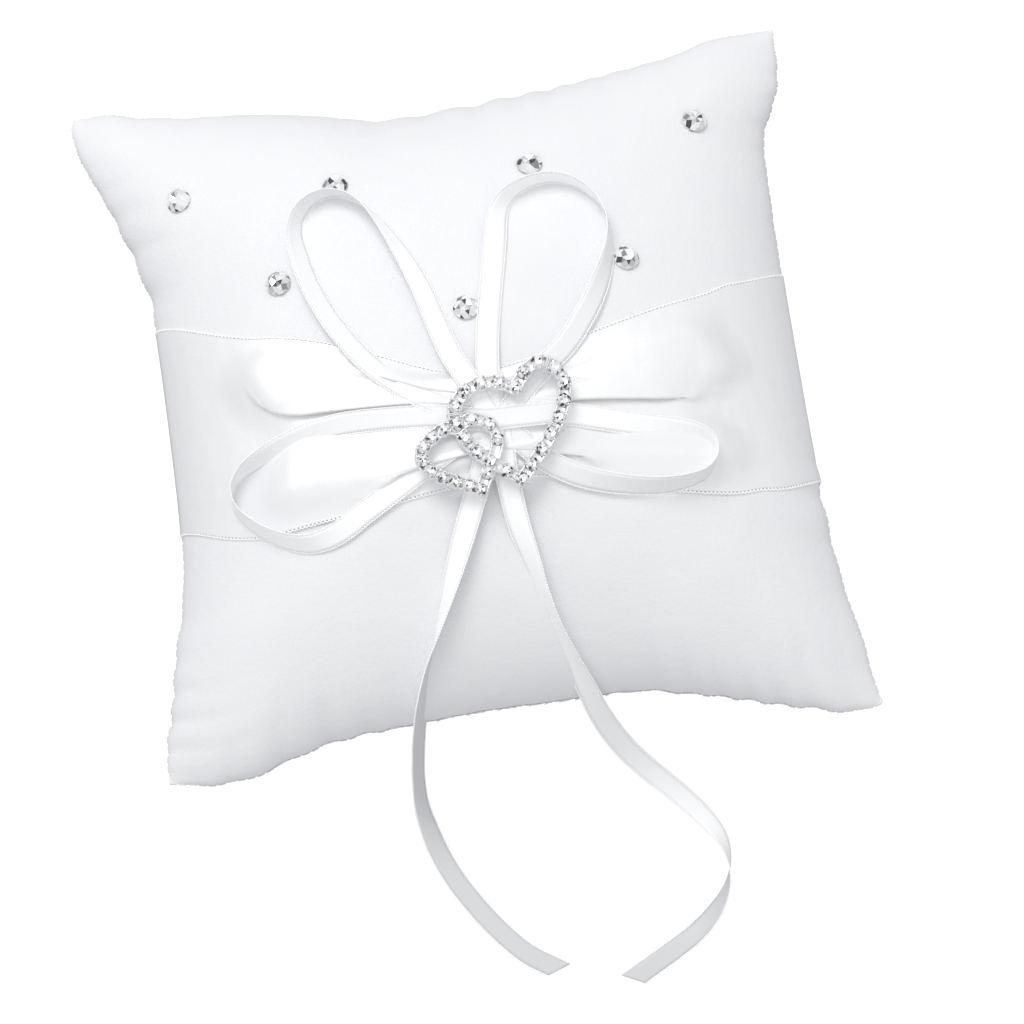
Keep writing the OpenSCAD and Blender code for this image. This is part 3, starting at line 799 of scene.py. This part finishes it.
def gather_ripple(share, u, x):
    """Fine uneven gathers beside the buckle, share of the way across the ribbon."""
    near = np.exp(-((x - BUCKLE_PLACE.x) / 0.016) ** 2)
    return 0.0004 * np.sin(2 * math.pi * (5.5 * share + 2.2 * u)) * near


def make_band(cover, material, picot_thread):
    """The wide ribbon: a flat satin ribbon, pleated in its middle, over the front panel."""
    gap = 0.0003
    samples = 24
    us = np.linspace(-1, 1, BAND_COLUMNS + 1)
    columns, across = [], []
    for u in us:
        top_v, bottom_v = band_middle(u) + band_half(u), band_middle(u) - band_half(u)
        x_here = plan(u, band_middle(u))[0]
        y_top, y_bottom = plan(u, top_v)[1], plan(u, bottom_v)[1]
        vs = np.linspace(top_v, bottom_v, samples)
        width = run_lengths(cover.front_at(np.full(samples, u), vs)[0])[-1]
        pleats = [((y_top - value_at(line, x_here)) / (y_top - y_bottom) * width,
                   value_at(depth, x_here)) for line, depth in PLEATS]
        section = pleated_section(width, pleats)
        share = np.clip(section[:, 0] / width, 0, 1)
        v = top_v + (bottom_v - top_v) * share
        place, normal = cover.front_at(np.full(len(v), u), v)
        tuck = smooth_step((1 - abs(u)) / 0.06)
        free = 0.12 + 0.88 * smooth_step(np.minimum(share, 1 - share) / 0.2)
        lift = gap + tuck * (section[:, 1] + free * billow(place[:, 0], place[:, 1])
                             + gather_ripple(share, u, x_here))
        columns.append(place + normal * lift[:, None])
        run = run_lengths(section)
        across.append(BAND_WIDTH * run / run[-1])
    points = np.array(columns).transpose(1, 0, 2)[::-1]
    rows, count = points.shape[:2]
    piece = make_mesh("wide_ribbon_band", points.reshape(-1, 3), grid_faces(rows, count), material)
    along = np.broadcast_to(np.linspace(0, BAND_LENGTH, count), (rows, count))
    set_cloth_uv(piece, np.stack([along, np.array(across).T[::-1]], axis=-1).reshape(-1, 2))
    thicken(piece, BAND_THICKNESS, 0)
    picots = [picot_row(points[row], points[row] - points[inner], *BAND_PICOTS)
              for row, inner in ((0, 1), (rows - 1, rows - 2))]
    trim = make_mesh("wide_ribbon_picots", *joined(picots), picot_thread)
    set_cloth_uv(trim, np.zeros((len(trim.data.vertices), 2)))
    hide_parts("wide_ribbon")
    return [piece, trim]


def picot_row(edge, outward, pitch, reach, radius):
    """Small loops of thread that stand out from a ribbon's edge."""
    data = evenly(np.hstack([edge, outward]), pitch / 2)
    parts = []
    for i in range(0, len(data) - 2, 2):
        start, top, end = data[i], data[i + 1], data[i + 2]
        out = unit(top[3:]) * reach
        path = [start[:3], start[:3] * 0.75 + end[:3] * 0.25 + out * 0.8, top[:3] + out,
                start[:3] * 0.25 + end[:3] * 0.75 + out * 0.8, end[:3]]
        parts.append(tube_mesh(path, radius, 4))
    return joined(parts)


def make_gather_stitches(cover, material):
    """Stitches down the gathers, which hold the ribbon to the pillow."""
    u = 0.05
    v_low, v_high = band_middle(u) - band_half(u), band_middle(u) + band_half(u)
    hump = 0.0028 + 0.0004 * np.array([-1, 0.6, 1, 0.6, -1])
    paths = []
    for start in np.linspace(v_low + 0.02, v_high - 0.05, 7):
        v = start + np.linspace(0, 0.03, 5)
        place, normal = cover.front_at(np.full(5, u), v)
        paths.append(place + normal * hump[:, None])
    return make_threads("gathering_stitches", "gather_stitches", paths, 0.0002, material)


# ---------------------------------------------------------------------- narrow ribbons

def ribbon_frame(centre):
    """Width and lift directions along a ribbon, from its points and its roll."""
    heading = unit(np.gradient(centre[:, :3], axis=0))
    side = unit(np.cross(heading, [0.0, 0.0, 1.0]))
    up = np.cross(side, heading)
    roll = np.radians(centre[:, 3])[:, None]
    return heading, np.cos(roll) * side + np.sin(roll) * up


def make_ribbon(name, node, route, faces, cut=0.0):
    """A flat picot-edged ribbon along a route, in two satins. cut slants its far end."""
    centre = evenly(curve(np.array(route) / ROUTE_UNITS, 12), RIBBON_SPACING)
    heading, wide = ribbon_frame(centre)
    run = run_lengths(centre)
    length = run[-1]
    half_width = RIBBON_WIDTH / 2 - 0.0002
    across = np.linspace(-1, 1, RIBBON_ROWS)
    shift = cut * np.clip((run - length + SLANT_REACH) / SLANT_REACH, 0, 1)
    points = (centre[:, None, :3] + wide[:, None] * (across * half_width)[None, :, None]
              + heading[:, None] * (shift[:, None] * across)[..., None])
    columns, rows = points.shape[:2]
    strip = make_mesh(name, points.reshape(-1, 3), grid_faces(columns, rows), faces[0])
    strip.data.materials.append(faces[1])
    uv = np.stack(np.meshgrid(run, across * half_width, indexing="ij"), axis=-1)
    set_cloth_uv(strip, uv.reshape(-1, 2))
    thicken(strip, RIBBON_THICKNESS, 0)
    strip.modifiers["thickness"].material_offset = 1
    picots = [picot_row(points[:, row], points[:, row] - points[:, inner], *RIBBON_PICOTS)
              for row, inner in ((0, 1), (-1, -2))]
    edge = make_mesh(name + "_picots", *joined(picots), faces[2])
    set_cloth_uv(edge, np.zeros((len(edge.data.vertices), 2)))
    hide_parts(node)
    return [strip, edge]


def make_ribbons(edge):
    ribs = (0.0005, 0.00002)
    # The glow on each narrow satin is painted light, standing in for light let through the ribbon.
    face = ribbon_satin("narrow_ribbon_face", (0.93, 0.935, 0.945), 0.42, *ribs, painted_glow=0.1)
    back = ribbon_satin("narrow_ribbon_back", (0.88, 0.885, 0.9), 0.5, *ribs, painted_glow=0.06)
    # The tails' back is a darker copy of the same back satin: painted shade for the tails lying on
    # the floor.
    tail_shaded_back = ribbon_satin("ribbon_tail_shaded_back", (0.64, 0.645, 0.66), 0.5, *ribs, painted_glow=0.05)
    face_up, back_up = (face, back, edge), (back, face, edge)
    tail = (face, tail_shaded_back, edge)
    pieces = []
    for name, node, route, faces in (
        ("upper_left_ribbon_loop", "upper_left_loop", UPPER_LEFT_ROUTE, back_up),
        ("upper_right_ribbon_loop", "upper_right_loop", UPPER_RIGHT_ROUTE, face_up),
        ("lower_left_ribbon_loop", "lower_left_loop", LOWER_LEFT_ROUTE, back_up),
        ("lower_right_ribbon_loop", "lower_right_loop", LOWER_RIGHT_ROUTE, face_up),
    ):
        pieces += make_ribbon(name, node, route, faces)
    for name, node, route, cut in (
        ("left_ribbon_tail", "left_tail", LEFT_TAIL_ROUTE, TAIL_SLANT),
        ("right_ribbon_tail", "right_tail", RIGHT_TAIL_ROUTE, -TAIL_SLANT),
    ):
        pieces += make_ribbon(name, node, route, tail, cut)
    return pieces


def make_binding(material):
    """Turns of thread round the place where the narrow ribbons cross."""
    low, high = (np.array(corner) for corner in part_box("loop_binding"))
    middle = (low + high) / 2
    reach = (high - low)[0] / 2
    a = np.linspace(0, 2 * math.pi, 24, endpoint=False)
    paths = []
    for turn in range(7):
        y = middle[1] + (turn - 3) * 0.00045
        paths.append(np.stack([middle[0] + reach * np.cos(a), y + 0.0002 * np.sin(2 * a + turn),
                               BINDING_TOP + 0.0013 * (np.sin(a) - 1)], axis=-1))
    return make_threads("thread_binding", "loop_binding", paths, 0.00022, material, closed=True)


# ------------------------------------------------------------------ buckle and crystals

# The buckle lies on the gathers and follows the pillow's slope there. The left side of each heart
# runs down from its cleft to its tip and the right side runs back up, in millimetres
BUCKLE_TILT = math.radians(4)
LARGE_LEFT = [(6, 8), (0, 10.5), (-7, 9.3), (-11.5, 3.5), (-9.5, -5), (-4, -11.5), (4.5, -18)]
LARGE_RIGHT = [(4.5, -18), (11, -10.5), (17, -2), (19.7, 7), (17, 13), (11.5, 14), (6, 8)]
SMALL_LEFT = [(-11.5, -1.5), (-14.5, -1), (-18.5, -3), (-21.8, -6.5), (-21.3, -11), (-17.5, -14.3),
              (-12, -17), (-7, -19.5)]
SMALL_RIGHT = [(-7, -19.5), (-4.4, -14.5), (-1.8, -9.5), (-0.6, -4.5), (-3.5, -0.5), (-8, 0.6),
               (-11.5, -1.5)]
FRAME_WIDTH, FRAME_HEIGHT = 0.0042, 0.0018
LARGE_STONE, SMALL_STONE = 0.004, 0.0036
LARGE_SIDE_STONES, SMALL_LEFT_STONES, SMALL_RIGHT_STONES = 10, 9, 6
BUCKLE_PLACE = Vector((0.005, -0.018, 0.0662))
CRYSTAL_RADIUS, CRYSTAL_HEIGHT = 0.0036, 0.0024
GLUE_HEIGHT = 0.0003


def side_line(side):
    """Smooth line of one side of a heart, in metres."""
    return curve(np.array(side) * 0.001, 5)


def stone_places(side, count):
    """Even places along one side of a heart, from its start."""
    line = side_line(side)
    run = run_lengths(line)
    where = run[-1] * np.arange(count) / count
    return np.stack([np.interp(where, run, line[:, 0]), np.interp(where, run, line[:, 1])], axis=-1)


def buckle_stones():
    """Places of the stones of both hearts. Where they cross, the large heart keeps the stone."""
    large = np.vstack([stone_places(side, LARGE_SIDE_STONES) for side in (LARGE_LEFT, LARGE_RIGHT)])
    small = np.vstack([stone_places(SMALL_LEFT, SMALL_LEFT_STONES),
                       stone_places(SMALL_RIGHT, SMALL_RIGHT_STONES)])
    apart = np.linalg.norm(small[:, None] - large[None], axis=-1).min(axis=1)
    return large, small[apart > 0.75 * LARGE_STONE]


def on_buckle():
    """Moves a piece from the flat to the buckle's place on the pillow."""
    return Matrix.Translation(BUCKLE_PLACE) @ Matrix.Rotation(BUCKLE_TILT, 4, "X")


def rail(left, right, places, top):
    """Rounded band along a heart, wider at each stone, as points and faces."""
    line = np.vstack([side_line(left)[:-1], side_line(right)[:-1]])
    line = evenly(np.vstack([line, line[:1]]), 0.0006)[:-1]
    heading = unit(np.roll(line, -2, axis=0) - np.roll(line, 2, axis=0))
    out = np.stack([heading[:, 1], -heading[:, 0]], axis=-1)
    near = np.linalg.norm(line[:, None] - places[None], axis=-1).min(axis=1)
    half_width = FRAME_WIDTH / 2 * (1.0 - 0.14 * smooth_step(near / 0.0022))
    half = [(-0.86, 0.0), (-0.98, 0.0002), (-1.0, 0.0006), (-1.0, top - 0.0004),
            (-0.93, top - 0.0001), (-0.8, top), (-0.68, top - 0.0002), (-0.5, top - 0.0006)]
    profile = half + [(-across, z) for across, z in reversed(half)]
    points = []
    for p, o, w in zip(line, out, half_width):
        points += [(*(p + o * w * across), z) for across, z in profile]
    return points, ring_faces(len(line), len(profile), closed=True)


def claw(place, towards, base, top):
    """Small tapered post with a round tip that leans over a stone."""
    foot = np.array([*place, base])
    lean = np.array([*(unit(towards) * 0.00028), 0])
    tip = np.array([*place, top])
    path = [foot, foot * 0.4 + tip * 0.6, tip + lean * 0.5, tip + lean + [0, 0, 0.00016],
            tip + lean * 1.3 + [0, 0, 0.00028]]
    return tube_mesh(path, [0.00036, 0.00034, 0.00038, 0.00034, 0.00012], 7)


def claws(line_heading, place, radius):
    """Four claws round one stone, in pairs beside its neighbours."""
    parts = []
    for along in (-1, 1):
        for across in (-1, 1):
            turned = np.array([line_heading[1], -line_heading[0]])
            direction = unit(along * 0.72 * line_heading + across * 0.9 * turned)
            spot = place + direction * (radius + 0.00006)
            parts.append(claw(spot, -direction, 0.0008, 0.0026))
    return parts


def headings(places):
    """Direction of a closed run of places at each of them."""
    return unit(np.roll(places, -1, axis=0) - np.roll(places, 1, axis=0))


def faceted_stone(place, turn, rings, table_height):
    """Points and faces of a round stone, from four rings of (radius, z) and its middle."""
    points = []
    for (radius, z), count, offset in zip(rings, (16, 16, 8, 8), (0, 0, math.pi / 8, 0)):
        for a in turn + offset + np.arange(count) * 2 * math.pi / count:
            points.append((place[0] + radius * math.cos(a), place[1] + radius * math.sin(a), z))
    points.append((*place, table_height))
    faces = [[k, (k + 1) % 16, 16 + (k + 1) % 16, 16 + k] for k in range(16)]
    for k in range(8):
        a, b, c = 16 + 2 * k, 16 + 2 * k + 1, 16 + (2 * k + 2) % 16
        upper, before = 32 + k, 32 + (k - 1) % 8
        faces += [[a, b, upper], [b, c, upper], [a, upper, 40 + k, before],
                  [upper, 40 + (k + 1) % 8, 40 + k], [40 + k, 40 + (k + 1) % 8, 48]]
    faces.append(list(reversed(range(16))))
    return points, faces


def make_stones(name, node, places, diameter, material, seed):
    """The claw-set stones of one heart."""
    rng = np.random.default_rng(seed)
    r = diameter / 2
    base = FRAME_HEIGHT - 0.0004
    rings = [(r, base), (r, base + 0.0004), (0.76 * r, base + 0.001), (0.52 * r, base + 0.0014)]
    parts, painted_reflections = [], []
    for place in places:
        points, faces = faceted_stone(place, rng.uniform(0, 6), rings, base + 0.00115)
        parts.append((points, faces))
        # Random dark and bright facets are painted reflections.
        painted_reflections.append(rng.choice([0.0, 0.3, 0.6, 0.9, 1.0, 1.0, 1.0, 1.0], len(faces)))
    points, faces = joined(parts)
    piece = make_mesh(name, points, faces, material, smooth=False)
    set_painted_reflections(piece, np.concatenate(painted_reflections))
    piece.data.transform(on_buckle())
    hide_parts(node)
    return piece


def set_painted_reflections(piece, painted_reflections):
    """Gives each facet its painted reflection, a share from dark to bright."""
    layer = piece.data.attributes.new("facet_painted_reflection", "FLOAT", "FACE")
    layer.data.foreach_set("value", painted_reflections.astype(np.float32))


def make_buckle_frame(large, small, silver):
    """Both hearts as one casting, with claws round every stone."""
    parts = [rail(LARGE_LEFT, LARGE_RIGHT, large, FRAME_HEIGHT),
             rail(SMALL_LEFT, SMALL_RIGHT, small, FRAME_HEIGHT - 0.0001)]
    for places, diameter in ((large, LARGE_STONE), (small, SMALL_STONE)):
        for place, heading in zip(places, headings(places)):
            parts += claws(heading, place, diameter / 2)
    casting = make_mesh("heart_buckle", *joined(parts), silver)
    casting.data.transform(on_buckle())
    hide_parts("buckle_frame")
    return casting


def make_buckle_stitches(large, small, thread):
    """Pairs of thread loops over the frame, between two stones."""
    reach = FRAME_WIDTH / 2 + 0.0003
    turn = np.linspace(0, math.pi, 13)
    paths = []
    for places, index in ((large, 4), (large, 13), (large, 17), (small, 4)):
        a, b = places[index], places[index + 1]
        middle, run = (a + b) / 2, unit(b - a)
        out = np.array([run[1], -run[0]])
        for shift in (-0.00025, 0.00025):
            paths.append([(*(middle + run * shift + out * reach * math.cos(t)),
                           0.0022 * math.sin(t) ** 0.5) for t in turn])
    stitches = make_threads("buckle_thread_loops", "buckle_stitches", paths, 0.00018, thread)
    stitches.data.transform(on_buckle())
    return stitches


def make_buckle(silver, crystal, thread):
    large, small = buckle_stones()
    pieces = [make_buckle_frame(large, small, silver), make_buckle_stitches(large, small, thread)]
    for heart, places, diameter, seed in (("large", large, LARGE_STONE, 3),
                                          ("small", small, SMALL_STONE, 8)):
        pieces.append(make_stones(f"{heart}_heart_crystals", f"{heart}_heart_stones", places,
                                  diameter, crystal, seed))
    return pieces


def front_below(cover, point):
    """The front panel's point straight below, and its normal averaged over a crystal's width."""
    away = np.linalg.norm(cover.front[..., :2] - np.array(point)[:2], axis=-1)
    near = np.exp(-((away / 0.003) ** 2))[..., None]
    place = (cover.front * near).sum(axis=(0, 1)) / near.sum()
    normal = unit((grid_normals(cover.front) * near).sum(axis=(0, 1)))
    slope = np.dot(normal[:2], np.array(point)[:2] - place[:2]) / normal[2]
    return np.array([point[0], point[1], place[2] - slope]), normal


def make_crystal(number, cover, crystal):
    """Flat-back crystal glued to the front panel."""
    node = f"crystal_{number}"
    low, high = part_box(node)
    middle = (low + high) / 2
    place, normal = front_below(cover, middle)
    rng = np.random.default_rng(20 + number)
    r, h = CRYSTAL_RADIUS, CRYSTAL_HEIGHT
    rings = [(0.97 * r, 0), (r, 0.2 * h), (0.8 * r, 0.6 * h), (0.52 * r, h)]
    points, faces = faceted_stone((0, 0), 0, rings, 0.86 * h)
    piece = make_mesh(f"flat_back_crystal_{number}", points, faces, crystal, smooth=False)
    # Random dark and bright facets are painted reflections.
    set_painted_reflections(piece, rng.choice([0.0, 0.2, 0.5, 0.8, 1.0, 1.0, 1.0], len(faces)))
    turn = Matrix.Rotation(rng.uniform(0, 6), 4, "Z")
    lean = Vector(normal).to_track_quat("Z", "Y").to_matrix().to_4x4()
    base = place + normal * GLUE_HEIGHT
    piece.data.transform(Matrix.Translation(base) @ lean @ turn)
    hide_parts(node)
    return piece, base, normal


def glue_pad(base, normal):
    """Points and faces of the flat drop of glue under one crystal."""
    sides = 24
    a = unit(np.cross(normal, [0.0, 1.0, 0.0]))
    b = np.cross(normal, a)
    turn = np.linspace(0, 2 * math.pi, sides, endpoint=False)[:, None]
    rings = [base + normal * depth + radius * (np.cos(turn) * a + np.sin(turn) * b)
             for radius, depth in ((0.0032, 0.0), (0.0034, -0.0002), (0.003, -0.0006))]
    faces = ring_faces(len(rings), sides)
    faces += [list(range(sides)), [3 * sides - 1 - k for k in range(sides)]]
    return np.vstack(rings), faces


def make_crystals(cover, crystal, glue):
    """The seven loose crystals and their glue."""
    pieces, pads = [], []
    for number in range(1, 8):
        piece, base, normal = make_crystal(number, cover, crystal)
        pieces.append(piece)
        pads.append(glue_pad(base, normal))
    pad = make_mesh("crystal_glue_pads", *joined(pads), glue)
    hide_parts("crystal_glue")
    return pieces + [pad]


# ------------------------------------------------------------------------------- stage

def add_stage():
    """A plain pale floor, just under the pillow."""
    points = [(-3, -3, -0.0005), (3, -3, -0.0005), (3, 3, -0.0005), (-3, 3, -0.0005)]
    material, _ = new_material("floor", (0.35, 0.35, 0.35), 0.9, Emission_Color=(1, 1, 1, 1),
                               Emission_Strength=0.88)
    floor = make_mesh("floor", points, [[0, 1, 2, 3]], material)
    floor.visible_diffuse = False
    floor.visible_glossy = False


def add_area_light(name, place, target, size, power):
    light = bpy.data.lights.new(name, "AREA")
    light.shape = "DISK"
    light.size = size
    light.energy = power
    lamp = bpy.data.objects.new(name, light)
    lamp.location = place
    lamp.rotation_euler = (Vector(place) - Vector(target)).to_track_quat("Z", "Y").to_euler()
    bpy.context.scene.collection.objects.link(lamp)


def add_lights():
    """A soft key from the upper left and a bright tent that darkens towards its foot."""
    add_area_light("key", (-0.35, 0.85, 1.35), (0, 0, 0.03), 0.8, 8.5)
    world = bpy.data.worlds.new("tent")
    world.use_nodes = True
    bpy.context.scene.world = world
    nodes, links = world.node_tree.nodes, world.node_tree.links
    coordinates = nodes.new("ShaderNodeTexCoord")
    split = nodes.new("ShaderNodeSeparateXYZ")
    ramp = nodes.new("ShaderNodeValToRGB")
    ramp.color_ramp.elements[0].position = 0.0
    ramp.color_ramp.elements[0].color = (0.58, 0.585, 0.6, 1)
    ramp.color_ramp.elements[1].position = 0.9
    ramp.color_ramp.elements[1].color = (1, 1, 1, 1)
    links.new(coordinates.outputs["Generated"], split.inputs[0])
    links.new(split.outputs["Z"], ramp.inputs["Fac"])
    links.new(ramp.outputs["Color"], nodes["Background"].inputs["Color"])
    nodes["Background"].inputs["Strength"].default_value = 0.9
    view = bpy.context.scene.view_settings
    view.view_transform = "Standard"
    view.look = "None"
    view.exposure = 0.0


def main():
    add_camera()
    # The glow on the wide satin and on the picot thread is painted light that brightens them where
    # they lie in shade.
    wide_satin = ribbon_satin("wide_ribbon_satin", (0.9, 0.905, 0.92), 0.38, 0.0006, 0.00001,
                              metallic=0.25, painted_glow=0.03)
    picot_thread = ribbon_satin("picot_thread", (0.95, 0.95, 0.96), 0.5, 0.0005, 0.00001, painted_glow=0.14)
    pieces = make_ribbons(picot_thread)
    satin = cover_satin()
    thread = thread_material()
    crystal = crystal_material()
    silver = silver_material()
    cover = Cover()
    cover.relax()
    pieces += make_cover(cover, satin)
    pieces.append(make_filling(cover, fibre_material()))
    pieces += [make_seam(cover, thread), make_closing_stitches(cover, thread)]
    pieces += make_band(cover, wide_satin, picot_thread)
    pieces.append(make_gather_stitches(cover, thread))
    pieces.append(make_binding(thread))
    pieces += make_buckle(silver, crystal, thread)
    pieces += make_crystals(cover, crystal, glue_material())
    for piece in pieces:
        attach(piece, "root")
    add_stage()
    add_lights()


main()
